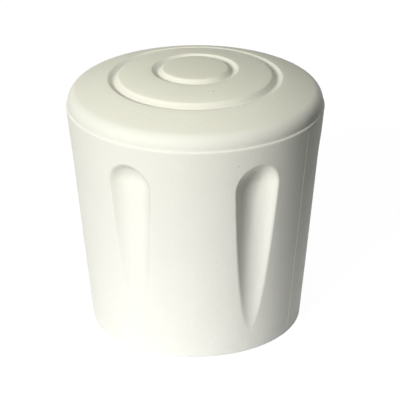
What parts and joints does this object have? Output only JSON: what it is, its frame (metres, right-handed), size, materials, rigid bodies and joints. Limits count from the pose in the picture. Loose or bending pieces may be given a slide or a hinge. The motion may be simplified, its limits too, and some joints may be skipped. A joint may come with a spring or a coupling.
{
  "type": "chair leg tip",
  "caption": "Tapered push-on rubber tip for a round chair leg, with teardrop flutes, a domed sole with ring grooves and a blind socket.",
  "frame": {"origin": "centre of the mouth rim, at the bottom of the tip as it stands on its mouth", "axes": "+Z along the socket's axis, from the mouth towards the sole; a flute faces +X"},
  "size_m": [0.0338, 0.0338, 0.0352],
  "materials": {
    "rubber": "matte off-white moulded rubber"
  },
  "bodies": {
    "root": {"leg_tip": "rubber"}
  },
  "joints": []
}
